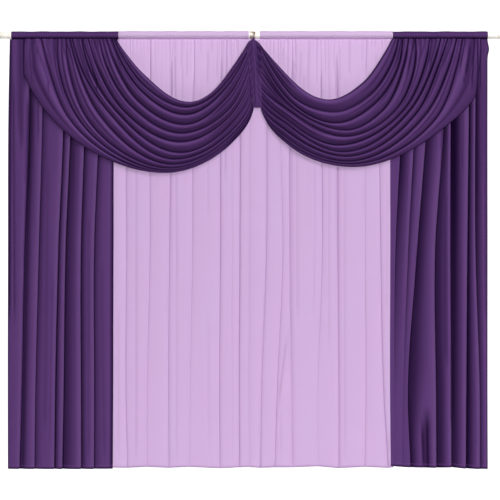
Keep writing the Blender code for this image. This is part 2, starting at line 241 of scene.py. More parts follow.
overRodStops = (
    (0.00, (0.0, 0.0, 0.0)),
    (0.28, (0.1, 0.1, 0.1)),
    (0.36, (0.8, 0.8, 0.8)),
    (0.72, (0.8, 0.8, 0.8)),
    (0.80, (0.0, 0.0, 0.0)),
)


# paint, plastic or metal, slightly clouded and worn
def hardFinish(name, main, worn, rough, metallic=0.0, coat=0.0):
    made, shader, wire = newMaterial(name)
    place = wire.node("TexCoord", None, None, 3)
    cloud = wire.node("TexNoise", None, {"Vector": place, "Scale": 60.0, "Detail": 5.0})
    speck = wire.node("TexNoise", None, {"Vector": place, "Scale": 840.0, "Detail": 2.0})
    plug((cloud * 1.6 - 0.3).held().blend(main, worn), shader, "Base Color")
    plug(cloud * 0.16 + (rough - 0.08), shader, "Roughness")
    bump = wire.node("Bump", None, {"Strength": 0.12, "Distance": 0.0004, "Height": speck})
    plug(bump, shader, "Normal")
    shader.inputs["Metallic"].default_value = metallic
    shader.inputs["Coat Weight"].default_value = coat
    return made


purple = jersey(purpleCloth)
lilac = jersey(lilacCloth)
lilacOverRod = jersey(lilacCloth, True)
enamel = hardFinish("rodEnamel", colour(0.97, 0.93, 0.87), colour(0.93, 0.88, 0.81), 0.32, coat=0.4)
capPlastic = hardFinish("capPlastic", colour(0.86, 0.83, 0.76), colour(0.80, 0.77, 0.69), 0.45)
brass = hardFinish("hookBrass", colour(0.66, 0.57, 0.50), colour(0.38, 0.32, 0.28), 0.40, 0.60)
print("materials made")


def addObject(name, data):
    made = bpy.data.objects.new(name, data)
    bpy.context.scene.collection.objects.link(made)
    return made


# a mesh object from a grid of points, with the cloth's own measure as its UVs
def gridObject(name, grid, fold, material, ring=False):
    rows, cols = grid.shape[:2]
    closeUp = cols if ring else cols - 1
    faces = []
    for i in range(rows - 1):
        for j in range(closeUp):
            k = (j + 1) % cols
            faces.append((i * cols + j, i * cols + k, (i + 1) * cols + k, (i + 1) * cols + j))
    mesh = bpy.data.meshes.new(name)
    mesh.from_pydata(grid.reshape(-1, 3).tolist(), [], faces)
    mesh.polygons.foreach_set("use_smooth", [True] * len(faces))
    sideways = np.linalg.norm(np.diff(grid, axis=1), axis=2)
    lengthways = np.linalg.norm(np.diff(grid, axis=0), axis=2)
    u = np.zeros((rows, cols + 1))
    u[:, 1:cols] = np.cumsum(sideways, axis=1)
    u[:, cols] = u[:, cols - 1] + np.linalg.norm(grid[:, 0] - grid[:, -1], axis=1)
    v = np.zeros((rows, cols + 1))
    v[1:, :cols] = np.cumsum(lengthways, axis=0)
    v[:, cols] = v[:, 0]
    layer = mesh.uv_layers.new(name="cloth")
    corners = []
    for i in range(rows - 1):
        for j in range(closeUp):
            for a, b in ((i, j), (i, j + 1), (i + 1, j + 1), (i + 1, j)):
                corners += (u[a, b], v[a, b])
    layer.data.foreach_set("uv", corners)
    # the fold attribute: painted shade above nought, painted highlight below nought
    shade = mesh.attributes.new("fold", "FLOAT", "POINT")
    shade.data.foreach_set("value", np.clip(fold, -1.0, 1.0).reshape(-1).tolist())
    mesh.materials.append(material)
    return addObject(name, mesh)


# turn the cloth's front, what lies before the given depth, to face the room,
# then give it its thickness away from the room
def thicken(piece, thickness, before=1.0):
    front = [p for p in piece.data.polygons if p.center.y < before]
    if sum(p.normal.y * p.area for p in front) > 0.0:
        piece.data.flip_normals()
    solid = piece.modifiers.new("clothThickness", "SOLIDIFY")
    solid.thickness = thickness
    solid.offset = -1.0


def clothArea(grid):
    sideways = np.diff(grid, axis=1)[:-1]
    lengthways = np.diff(grid, axis=0)[:, :-1]
    return float(np.linalg.norm(np.cross(sideways, lengthways), axis=2).sum())


def finishPiece(piece, node, slot):
    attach(piece, "root")
    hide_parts(node)


# The hung panels: each row of "creases" is one pleat's closed line, each "fine" row a small fold.
# shade, spread, sharp and spreadLow set the painted shade beside each crease
panelColumns = ("top", "knee", "middle", "low", "hem", "hemRow", "deep", "deepLow",
                "shade", "spread", "sharp", "spreadLow")
panelRows = (38.0, 100.0, 250.0, 400.0, 468.0)
fineColumns = ("x", "xLow", "fromRow", "toRow", "deep", "wide")

# across and forward through one fold, from its closed crease to the next one
knifeFold = (
    (0.00, 0.00), (0.035, 0.20), (0.095, 0.40), (0.21, 0.60), (0.40, 0.79),
    (0.63, 0.92), (0.83, 1.00), (0.94, 0.98), (1.01, 0.82), (1.015, 0.45), (1.00, 0.00),
)
softFold = (
    (0.00, 0.00), (0.025, 0.30), (0.09, 0.62), (0.24, 0.86), (0.50, 1.00),
    (0.76, 0.88), (0.91, 0.64), (0.975, 0.30), (1.00, 0.00),
)

darkCurtain = {
    "fold": knifeFold,
    "centre": 0.0060,       # how far in front of the rod's axis the cloth hangs
    "ease": 1.0,            # share of the depths below
    "ridge": 0.32,          # painted highlight on the edge of each pleat
    "topLight": 0.0,
    "lineWide": 1.2,        # the painted shade line in each crease, in squares
    "bothSides": 0.0,
    "hemLine": 0.50,
    "hemShade": 0.80,
    "levels": 100,
    "steps": 24,
    "thickness": 0.0011,
    "flat": (0.74, 1.82),   # the width is a guess; the modelled folds take about 0.6
}
lilacPanel = {
    "fold": softFold,
    "centre": 0.0050,
    "ease": 0.55,
    "ridge": 0.0,
    "topLight": 0.70,       # painted light under the rod, where the swags leave it open
    "lineWide": 1.9,
    "bothSides": 0.8,       # how much of the painted shade line shows on the crease's other side
    "hemLine": 0.0,
    "hemShade": 0.55,
    "edgeShade": 0.0,
    "levels": 96,
    "thickness": 0.0010,
}

curtainLeft = {
    **darkCurtain, "name": "curtainLeft", "node": "curtain_left", "edgeShade": 0.85,
    "creases": (
        (9.0, 7.7, 7.1, 7.0, 7.1, 468.5, 6, 6, 0.0, 0.3, 0.2, 0.3),
        (27.0, 28.2, 23.3, 20.5, 18.6, 468.5, 24, 22, 0.66, 0.75, 0.6, 0.75),
        (42.0, 41.6, 37.8, 34.3, 33.5, 468.5, 18, 16, 0.40, 0.45, 0.5, 0.45),
        (61.0, 62.4, 57.2, 53.9, 53.2, 468.5, 27, 28, 0.60, 0.70, 0.7, 0.70),
        (69.0, 70.0, 64.7, 62.6, 61.4, 468.5, 20, 20, 0.66, 0.95, 0.7, 0.95),
        (83.5, 84.0, 79.9, 80.0, 80.2, 468.5, 26, 26, 0.50, 0.60, 0.7, 0.60),
        (98.0, 98.5, 93.2, 93.3, 93.0, 468.5, 22, 20, 0.34, 0.50, 0.6, 0.50),
        (117.5, 114.2, 112.6, 112.2, 111.8, 468.2, -14, -14, 0.0, 0.3, 0.0, 0.3),
    ),
    "fine": (
        (9.6, 8.0, 38, 330, 4.6, 1.5),
        (12.4, 14.0, 70, 330, 3.4, 1.0),
        (17.6, 17.4, 41, 140, 3.2, 1.1),
        (23.4, 22.8, 38, 104, 5.4, 0.9),
        (20.6, 20.6, 38, 160, 3.0, 2.0),
        (29.2, 21.2, 84, 500, 4.4, 2.4),
        (37.0, 37.5, 86, 150, 3.0, 1.0),
        (30.5, 34.0, 90, 250, 1.0, 1.4),
        (47.0, 44.0, 150, 440, 1.4, 1.8),
        (52.0, 50.0, 250, 468, 1.0, 1.6),
        (72.0, 71.0, 130, 330, 1.4, 1.2),
        (88.0, 88.0, 200, 468, 1.0, 2.0),
        (100.5, 104.0, 250, 468, 1.3, 1.6),
    ),
}
curtainRight = {
    **darkCurtain, "name": "curtainRight", "node": "curtain_right", "edgeShade": 0.55,
    "bulge": 1.6,           # squares that it stands out beside the heading
    "creases": (
        (392.2, 390.3, 390.0, 389.9, 390.6, 465.5, -14, -14, 0.20, 0.3, 0.5, 0.3),
        (401.5, 401.3, 394.9, 393.6, 393.8, 466.0, 22, 1, 0.82, 1.00, 0.9, 1.00),
        (414.5, 414.3, 407.4, 402.5, 402.0, 466.6, 16, 1, 0.60, 0.60, 0.7, 0.60),
        (427.0, 426.5, 416.4, 407.3, 410.0, 467.0, 20, 20, 0.80, 0.88, 0.9, 0.45),
        (444.0, 444.0, 434.2, 434.9, 435.3, 467.3, 24, 26, 0.78, 1.05, 0.95, 1.05),
        (450.8, 450.2, 449.5, 450.5, 450.5, 466.8, 30, 24, 0.96, 1.02, 1.0, 1.02),
        (468.5, 468.0, 466.4, 465.4, 465.0, 468.0, 27, 27, 0.92, 0.90, 1.0, 0.90),
        (475.0, 474.7, 474.8, 479.0, 479.0, 468.5, 23, 14, 0.85, 0.80, 1.0, 0.80),
        (487.0, 486.8, 486.9, 487.0, 487.2, 468.5, 6, 6, 0.0, 0.3, 0.0, 0.3),
    ),
    "fine": (
        (454.5, 454.5, 160, 360, 1.4, 1.0),
        (457.5, 458.0, 230, 468, 1.6, 1.2),
        (443.0, 444.5, 100, 380, 3.2, 3.0),
        (417.0, 414.0, 230, 320, 1.4, 1.4),
        (426.0, 427.5, 400, 500, 6.0, 3.0),
        (421.0, 424.8, 410, 500, 5.6, 1.1),
        (441.0, 441.0, 300, 440, 1.2, 1.2),
        (461.5, 462.0, 60, 190, 2.6, 1.4),
        (452.4, 452.2, 90, 440, 5.4, 1.8),
        (479.8, 480.0, 38, 110, 4.6, 1.0),
        (483.5, 485.0, 41, 330, 2.2, 1.0),
        (482.0, 481.5, 70, 200, 2.4, 1.0),
        (474.0, 476.0, 380, 468, 1.2, 1.2),
    ),
}
lilacLeft = {
    **lilacPanel, "name": "lilacLeft", "node": "lilac_left", "steps": 36, "flat": (0.66, 1.82),
    "creases": (
        (116.5, 108.5, 106.5, 106.0, 106.0, 467.0, 16, 16, 0.0, 0.3, 0.16, 0.3),
        (131.0, 126.5, 125.5, 125.0, 126.5, 467.5, 10, 10, 0.0, 0.3, 0.16, 0.3),
        (150.0, 149.0, 149.0, 146.0, 146.0, 466.5, 9, 4, 0.0, 0.3, 0.16, 0.3),
        (171.0, 170.5, 168.5, 167.5, 168.0, 467.5, 10, 8, 0.16, 0.22, 0.34, 0.22),
        (194.0, 192.0, 191.5, 189.0, 188.5, 466.5, 8, 2, 0.08, 0.25, 0.18, 0.25),
        (222.0, 220.0, 219.5, 218.5, 219.0, 468.0, 10, 9, 0.14, 0.25, 0.32, 0.25),
        (236.0, 238.5, 239.0, 238.3, 238.8, 467.0, 9, 9, 0.10, 0.3, 0.24, 0.3),
        (252.4, 251.0, 250.0, 249.5, 250.0, 466.5, -14, -14, 0.0, 0.3, 0.16, 0.3),
    ),
    "fine": (
        (129.5, 130.0, 38, 75, 0.9, 0.6),
        (149.5, 150.0, 38, 110, 1.6, 0.6),
        (154.5, 154.0, 38, 90, 0.7, 0.5),
        (165.0, 165.0, 60, 110, 1.2, 0.5),
        (169.5, 169.0, 38, 100, 1.4, 0.5),
        (174.0, 173.5, 50, 110, 0.9, 0.5),
        (184.0, 182.5, 70, 130, 1.2, 0.6),
        (194.0, 193.0, 38, 110, 1.3, 0.5),
        (212.0, 211.0, 38, 100, 1.2, 0.7),
        (221.0, 220.0, 38, 90, 1.2, 0.7),
        (229.0, 229.0, 38, 70, 1.9, 0.6),
        (236.0, 236.5, 38, 62, 1.7, 0.6),
        (241.5, 242.0, 38, 55, 1.4, 0.6),
        (135.5, 135.0, 150, 468, 1.6, 1.2),
        (160.0, 159.0, 50, 130, 1.1, 0.7),
        (174.0, 176.0, 41, 300, 1.6, 0.8),
        (181.0, 183.0, 41, 190, 1.6, 0.8),
        (186.5, 186.0, 41, 120, 0.9, 0.6),
        (200.0, 199.0, 41, 120, 0.9, 0.6),
        (207.0, 208.0, 41, 230, 1.4, 0.8),
        (217.0, 216.0, 41, 120, 1.0, 0.7),
        (226.0, 224.0, 41, 190, 2.2, 0.7),
        (231.0, 232.0, 41, 468, 1.2, 0.7),
        (176.0, 175.5, 230, 468, 1.2, 0.9),
        (117.5, 117.5, 300, 468, 1.4, 0.8),
        (207.0, 209.0, 300, 468, 1.0, 1.0),
    ),
}
lilacRight = {
    **lilacPanel, "name": "lilacRight", "node": "lilac_right", "steps": 32, "flat": (0.70, 1.82),
    "creases": (
        (252.7, 246.6, 246.5, 246.5, 246.5, 466.5, 14, 14, 0.0, 0.3, 0.16, 0.3),
        (268.0, 266.5, 265.5, 260.5, 259.7, 467.5, 10, 8, 0.12, 0.3, 0.24, 0.3),
        (280.0, 279.0, 282.0, 276.0, 274.0, 467.0, 1, 9, 0.0, 0.3, 0.16, 0.3),
        (293.0, 289.5, 288.9, 291.0, 291.8, 467.0, 11, 7, 0.34, 0.20, 0.30, 0.20),
        (320.0, 320.5, 321.5, 317.0, 317.5, 466.0, 9, 1, 0.10, 0.3, 0.20, 0.3),
        (336.0, 336.5, 337.0, 338.0, 338.0, 467.8, 13, 11, 0.20, 0.20, 0.50, 0.20),
        (366.0, 364.5, 364.5, 365.0, 364.0, 466.5, 2, 8, 0.0, 0.3, 0.16, 0.3),
        (384.0, 380.0, 380.0, 383.5, 387.5, 467.5, 9, 10, 0.12, 0.5, 0.24, 0.5),
        (391.9, 394.5, 393.0, 393.0, 393.0, 467.0, 12, 12, 0.0, 0.3, 0.16, 0.3),
    ),
    "fine": (
        (264.0, 264.5, 38, 60, 1.3, 0.6),
        (282.5, 282.0, 38, 80, 1.6, 0.5),
        (292.0, 291.5, 38, 100, 1.2, 0.5),
        (303.5, 303.0, 38, 110, 1.2, 0.5),
        (316.0, 316.5, 38, 100, 1.2, 0.5),
        (325.0, 324.5, 38, 100, 1.0, 0.6),
        (333.0, 333.5, 38, 90, 1.0, 0.6),
        (339.0, 339.5, 38, 100, 1.0, 0.6),
        (349.0, 349.5, 38, 95, 1.4, 0.6),
        (366.0, 365.0, 38, 90, 1.9, 0.5),
        (371.5, 371.0, 38, 75, 1.2, 0.5),
        (381.0, 380.0, 38, 60, 1.4, 0.6),
        (273.0, 273.5, 41, 80, 0.9, 0.6),
        (278.0, 278.0, 41, 110, 1.2, 0.7),
        (287.0, 287.5, 41, 120, 1.4, 0.7),
        (295.0, 297.0, 41, 330, 1.6, 0.8),
        (300.0, 299.5, 41, 130, 1.3, 0.8),
        (308.0, 309.0, 41, 240, 1.6, 0.8),
        (314.0, 313.5, 150, 330, 1.2, 0.8),
        (328.5, 328.5, 41, 360, 1.4, 0.8),
        (344.0, 344.0, 60, 468, 1.5, 0.9),
        (356.0, 356.5, 41, 130, 1.2, 0.8),
        (362.0, 361.5, 41, 90, 1.0, 0.7),
        (375.0, 376.0, 41, 90, 0.9, 0.7),
        (287.5, 276.0, 325, 414, 2.6, 0.9),
        (280.0, 280.0, 400, 468, 1.0, 0.9),
        (371.0, 371.0, 380, 410, 1.0, 1.0),
        (386.5, 386.0, 160, 330, 1.2, 0.8),
    ),
}
panelTop = {
    "drop": 0.0150,       # under the rod pocket
    "tuck": 0.0143,       # where the cloth goes into the pocket's seam
    "settle": 0.230,      # the fall over which the pleats reach their depth
    "start": 0.10,        # share of that depth at the top
    "deepRows": (165.0, 400.0),       # rows of a crease's two depths
    "spreadRows": (370.0, 440.0),     # rows between its two spreads
    "crowd": 1.25,        # the rows stand closer near the top
    "creaseEase": 1.15,
    "ridgeWide": 4.0,     # width of the painted highlight, in squares
    "lightRow": 112.0,    # the painted light under the rod ends here
    "fadeRows": 30.0,
    "fineShade": 0.16,    # painted shade for each millimetre of a small fold's depth
    "plainShade": 0.12,   # painted highlights show where the painted shade is less than this
    "bulgeRow": 48.4,
    "bulgeRows": 5.2,
    "stitchLight": 0.8,
    "gatherDeep": 0.0009,
    "gatherFall": 0.060,
    "gatherPitch": 0.0150,
    "hemLevels": (0.9820, 0.9890, 0.9907, 0.9919, 0.9931, 0.9960),     # shares of the drop
}


def hungPanel(look, material, slot):
    creases = [dict(zip(panelColumns, row)) for row in look["creases"]]
    steps = foldSteps(look["fold"], look["steps"])
    levels = np.linspace(0.0, 1.0, look["levels"] + 1) ** panelTop["crowd"]
    levels = np.sort(np.concatenate([levels[:-2], panelTop["hemLevels"], levels[-1:]]))
    pocketRow = squares["pocketRow"]
    lines = []
    for crease in creases:
        rows = pocketRow + levels * (crease["hemRow"] - pocketRow)
        column = smoothLine(panelRows, [crease[c] for c in panelColumns[:5]], rows)
        deep = np.interp(rows, panelTop["deepRows"], (crease["deep"], crease["deepLow"]))
        lines.append((column, rows, deep * 0.001 * look["ease"]))
    columns = []
    shades = []
    for i in range(len(lines) - 1):
        last = i == len(lines) - 2
        (colA, rowA, deepA), (colB, rowB, deepB) = lines[i], lines[i + 1]
        pleat = creases[i]
        for v, full in steps[: None if last else -1]:
            part = min(max(v, 0.0), 1.0)
            column = colA + (colB - colA) * v
            row = rowA + (rowB - rowA) * part
            if last:
                swell = hump(row - panelTop["bulgeRow"], panelTop["bulgeRows"])
                column = column + look.get("bulge", 0.0) * part * swell
            fall = np.maximum(-down(row) - panelTop["drop"], 0.0)
            grow = panelTop["start"] + (1.0 - panelTop["start"]) * easy(fall / panelTop["settle"])
            back = (deepA + (deepB - deepA) * part) * 0.5 * grow
            ridge = -0.25 * (abs(deepA) + abs(deepB)) * grow
            y = look["centre"] + back + (ridge - back) * full
            gap = np.abs(colB - colA)
            # painted shade beside each crease, fading where the pleat is shallow, and along the
            # last edge
            spread = np.interp(row, panelTop["spreadRows"], (pleat["spread"], pleat["spreadLow"]))
            closed = easy((1.0 - v / spread) * panelTop["creaseEase"])
            closed = (easy(closed) if pleat["spread"] > 1.0 else closed) * pleat["shade"]
            closed = np.maximum(closed, pleat["sharp"] * hump(v * gap, look["lineWide"]))
            before = creases[i + 1]["sharp"] * hump((1.0 - v) * gap, look["lineWide"])
            closed = np.maximum(closed, before * look["bothSides"])
            fading = deepA / (max(abs(pleat["deep"]), abs(pleat["deepLow"])) * 0.001 * look["ease"])
            fading = within(fading)
            shade = closed * grow * fading
            if last and look["edgeShade"]:
                shade = np.maximum(shade, look["edgeShade"] * float(easy((v - 0.86) / 0.07)))
            for fineRow in look["fine"]:
                small = dict(zip(fineColumns, fineRow))
                slant = (small["xLow"] - small["x"]) / (small["toRow"] - small["fromRow"])
                line = small["x"] + slant * (row - small["fromRow"])
                window = within((small["toRow"] - row) / panelTop["fadeRows"])
                if small["fromRow"] > 42:     # the others start inside the pocket's seam
                    window = window * within((row - small["fromRow"]) / panelTop["fadeRows"])
                dent = hump(column - line, small["wide"]) * easy(window)
                y = y + dent * small["deep"] * 0.001
                # painted shade in each small fold
                shade = np.maximum(shade, dent * panelTop["fineShade"] * small["deep"])
            # painted highlight on each pleat's edge and painted light under the rod
            paintedHighlight = hump((1.0 - v) * gap, panelTop["ridgeWide"]) * look["ridge"] * grow * fading
            upper = within((panelTop["lightRow"] - row) / panelTop["fadeRows"])
            paintedHighlight = np.maximum(paintedHighlight, look["topLight"] * upper)
            shade = np.where(shade < panelTop["plainShade"], shade - paintedHighlight, shade)
            stitching = panelTop["stitchLight"] * look["hemLine"]
            shade[-4] = shade[-4] * (1.0 - look["hemLine"]) - stitching
            shade[-2] = max(shade[-2], 0.4 * look["hemShade"])
            shade[-1] = max(shade[-1], look["hemShade"])
            x = across(column)
            gather = np.exp(-fall / panelTop["gatherFall"]) * panelTop["gatherDeep"]
            phase = x / panelTop["gatherPitch"] * fullTurn
            y = y + gather * (np.sin(phase) + 0.6 * np.sin(phase * 1.73 + 1.3))
            z = down(row)
            z[0] = -panelTop["tuck"]
            columns.append(np.stack([x, y, z], axis=1))
            shades.append(shade)
    grid = np.array(columns).transpose(1, 0, 2)
    piece = gridObject(look["name"], grid, np.array(shades).T, material)
    thicken(piece, look["thickness"])
    finishPiece(piece, look["node"], slot)
    print("panel", look["name"], "area", round(clothArea(grid), 3), "flat", look["flat"])


hungPanel(curtainLeft, purple, "purple_jersey")
hungPanel(curtainRight, purple, "purple_jersey")
hungPanel(lilacLeft, lilac, "lilac_jersey")
hungPanel(lilacRight, lilac, "lilac_jersey")

# The swags: each crease runs from the heading round the belly to the centre.
swagColumns = ("head", "dropX", "dropRow", "flankX", "flankRow", "bellyX", "bellyRow",
               "riseX", "riseRow", "endX", "endRow", "deep")
headFoldColumns = ("x42", "x60", "x82", "toRow", "deep", "wide")
swagFold = (
    (0.00, 0.00), (0.05, 0.30), (0.12, 0.60), (0.20, 0.84), (0.30, 0.99),
    (0.42, 0.97), (0.56, 0.83), (0.71, 0.61), (0.85, 0.36), (0.95, 0.14), (1.00, 0.00),
)
swagLeft = {
    "name": "swagLeft", "node": "swag_left",
    "flat": (0.92, 0.60),     # fits the modelled folds; the real cut is wider
    "open": 1.30,       # how fast the painted shade eases off as a fold opens to the light
    "line": 0.88,       # the painted shade line in each crease, and its width in squares
    "wide": 1.35,
    "creases": (
        (115.2, 123.0, 49.4, 144, 74.3, 189, 102.0, 225, 76.8, 247.5, 42.0, 6),
        (113.4, 124.4, 59.6, 144, 86.0, 186, 107.3, 222, 87.0, 249.0, 47.0, 8),
        (111.0, 122.0, 64.0, 141, 91.0, 185, 114.6, 226, 87.5, 249.5, 46.0, 10),
        (106.0, 115.0, 64.0, 138, 101.0, 184, 124.8, 227, 97.0, 249.7, 51.0, 11),
        (99.0, 106.0, 65.0, 132, 107.0, 181, 133.2, 228, 109.5, 250.0, 63.0, 11),
        (88.0, 96.5, 65.0, 125, 112.5, 180, 141.8, 228, 117.5, 250.0, 79.0, 12),
        (81.0, 88.0, 65.0, 116, 111.0, 181, 152.8, 229, 125.5, 250.3, 90.0, 10),
        (72.0, 80.0, 65.0, 109, 112.5, 175, 159.0, 229, 133.0, 250.8, 98.0, 10),
        (69.5, 77.0, 66.0, 100, 115.0, 173, 164.2, 228, 138.0, 251.3, 102.5, 8),
        (65.5, 68.5, 65.0, 89, 121.0, 170, 168.2, 229, 140.3, 252.0, 105.0, 9),
        (57.5, 58.5, 65.0, 80, 121.0, 168, 170.3, 229, 142.3, 252.3, 106.5, 6),
        (41.0, 48.0, 65.0, 70, 119.5, 166.5, 171.8, 229.5, 143.5, 252.7, 107.4, 7),
        (24.0, 24.0, 74.0, 73, 138.4, 165, 172.9, 230, 144.5, 253.0, 108.2, 4),
    ),
    "fine": (
        (30.0, 30.0, 33.0, 104, 1.6, 1.1),
        (34.5, 41.5, 49.0, 108, 1.3, 1.0),
        (46.0, 51.0, 57.0, 80, 1.4, 0.9),
        (54.0, 57.0, 61.0, 84, 1.7, 0.9),
        (62.0, 67.0, 69.5, 86, 1.6, 0.9),
        (66.0, 72.0, 77.0, 84, 2.2, 0.9),
        (78.8, 84.0, 91.5, 96, 2.2, 0.9),
        (83.0, 89.5, 97.0, 108, 2.6, 1.0),
        (91.0, 96.0, 101.0, 78, 1.8, 0.8),
        (94.0, 100.0, 110.0, 98, 2.3, 0.9),
        (103.0, 108.5, 117.0, 84, 2.2, 0.9),
        (112.5, 118.0, 125.0, 82, 2.2, 0.9),
    ),
}
swagRight = {
    "name": "swagRight", "node": "swag_right",
    "flat": (0.92, 0.58),     # the same
    "open": 1.10,
    "line": 1.00,
    "wide": 1.70,
    "creases": (
        (391.5, 382.0, 55.2, 360, 84.1, 328, 99.7, 286, 74.6, 258.5, 42.5, 6),
        (398.0, 390.0, 64.0, 367, 96.5, 333, 112.0, 288, 92.5, 260.0, 45.0, 12),
        (402.0, 398.0, 64.0, 372, 105.0, 334, 123.3, 287, 99.5, 257.5, 51.0, 11),
        (408.0, 403.0, 64.0, 379, 113.0, 345, 130.3, 292, 108.5, 258.5, 68.0, 9),
        (415.0, 413.5, 65.0, 394, 110.5, 344, 136.5, 287, 110.0, 258.5, 84.0, 9),
        (429.0, 424.0, 64.0, 402, 110.5, 337, 145.2, 287, 120.5, 258.5, 90.0, 11),
        (440.0, 432.0, 64.0, 408, 111.0, 342, 152.0, 287, 125.0, 258.5, 96.0, 10),
        (447.0, 437.5, 65.0, 415, 113.0, 345, 156.3, 287, 132.0, 259.0, 100.5, 9),
        (456.0, 448.0, 65.0, 424, 114.5, 347, 161.3, 289, 140.0, 259.5, 104.0, 9),
        (462.0, 456.0, 65.0, 437, 114.5, 350, 164.0, 290, 144.0, 260.0, 106.0, 8),
        (480.2, 474.6, 95.3, 440, 130.2, 352, 167.0, 290, 147.0, 261.0, 108.0, 5),
    ),
    "fine": (
        (400.5, 396.0, 391.0, 82, 2.4, 0.9),
        (413.5, 409.0, 404.0, 88, 2.6, 0.9),
        (424.5, 418.5, 412.0, 84, 1.8, 0.9),
        (431.0, 427.5, 420.0, 84, 2.3, 0.9),
        (435.0, 430.0, 426.0, 84, 2.3, 0.9),
        (451.0, 444.0, 437.0, 84, 2.0, 0.9),
        (464.0, 460.0, 457.0, 84, 2.2, 0.9),
        (470.0, 467.0, 462.0, 98, 2.8, 0.9),
        (473.5, 472.0, 470.5, 104, 2.8, 1.0),
        (476.8, 476.6, 476.2, 106, 3.2, 1.0),
    ),
}
hang = {
    "topY": -0.0042,          # the cloth leaves the heading here
    "reach": 0.0450,          # how far the belly stands forward of that
    "ease": 0.1100,           # the run over which it gets there
    "endY": -0.0180,          # and where it ends at the centre
    "settle": 0.24,
    "swellRun": 0.16,         # the run over which folds deepen from both ends
    "deepShare": 1.6,
    "deepMost": 0.46,         # a fold is at most this share of its width deep
    "straight": (0.85, 0.50, 0.25),     # how straight the upper folds rise to the centre
    "lowRow": 70.0,           # folds that end below it rise more steeply
    "lowRows": 35.0,
    "lowSteep": 0.8,
    "spans": (16, 22, 46, 40, 30),
    "steps": 20,
    "thickness": 0.0010,
    "gatherDeep": 0.0024,
    "gatherFall": 0.060,
    "gatherEach": 2.2,
    # faceShade to ridge: painted shade on the swag folds, darker on the underside of level folds,
    # with a painted highlight (ridge) just below each crease
    "faceShade": 0.62,
    "underShade": 0.42,
    "beltFace": 0.13,
    "beltLine": 0.80,
    "beltWide": 1.25,
    "ridge": 0.35,
    "plainShade": 0.25,       # painted highlights show where the painted shade is less than this
    "deepEnough": 0.006,      # folds this deep have their full painted shade
    "splitDeep": 0.0036,      # folds that part in two near the heading
    "splitWide": 0.11,
    "splitShade": 0.65,
    "endDeep": 0.0034,        # and near the centre
    "endWide": 0.075,
    "endShade": 0.85,
    "endFrom": 0.63,
    "endFolds": ((0.24, 0.8), (0.50, 1.0), (0.76, 0.8)),     # place in the fold, strength
    "fineRows": (42.0, 60.0, 82.0),
    "fineFade": 26.0,
    "fineShade": 0.36,        # painted shade for each millimetre of a small fold's depth
    "fineMost": 0.92,
}


# one crease line of a swag, from its heading to the centre column
def creaseLine(row, corner, straight):
    crease = dict(zip(swagColumns, row))
    knots = [(across(crease["head"]), down(squares["pocketRow"]))]
    for place in ("drop", "flank", "belly", "rise", "end"):
        knots.append((across(crease[place + "X"]), down(crease[place + "Row"])))
    knots = np.array(knots)
    length = np.linalg.norm(np.diff(knots, axis=0), axis=1)
    slope = np.diff(knots, axis=0) / length[:, None]
    tangent = [slope[0]]
    for i in range(1, 5):
        mixed = slope[i - 1] * length[i] + slope[i] * length[i - 1]
        tangent.append(mixed / (length[i] + length[i - 1]))
    tangent.append(slope[-1] * 1.5 - tangent[4] * 0.5)
    tangent[0] = slope[0] * 1.5 - tangent[1] * 0.5
    tangent[3] = np.array((math.copysign(1.0, knots[5, 0] - knots[0, 0]), 0.0))
    tangent[4] = tangent[4] * (1.0 - straight) + slope[4] * straight
    lower = (crease["endRow"] - hang["lowRow"]) / hang["lowRows"]
    steep = float(easy(lower)) * hang["lowSteep"]
    tangent[5] = tangent[5] * (1.0 - steep) + np.array((0.10 * tangent[3][0], 1.15)) * steep
    points = []
    for i, spans in enumerate(hang["spans"]):
        start = tangent[i]
        finish = tangent[i + 1]
        if corner and i == 0:
            finish = slope[0]
        if corner and i == 1:
            start = slope[0] * 0.45 + slope[1] * 0.55
        for k in range(spans + (1 if i == 4 else 0)):
            u = k / spans
            leave, arrive = length[i] * start, length[i] * finish
            points.append(curveBetween(u, knots[i], leave, knots[i + 1], arrive))
    return np.array(points)


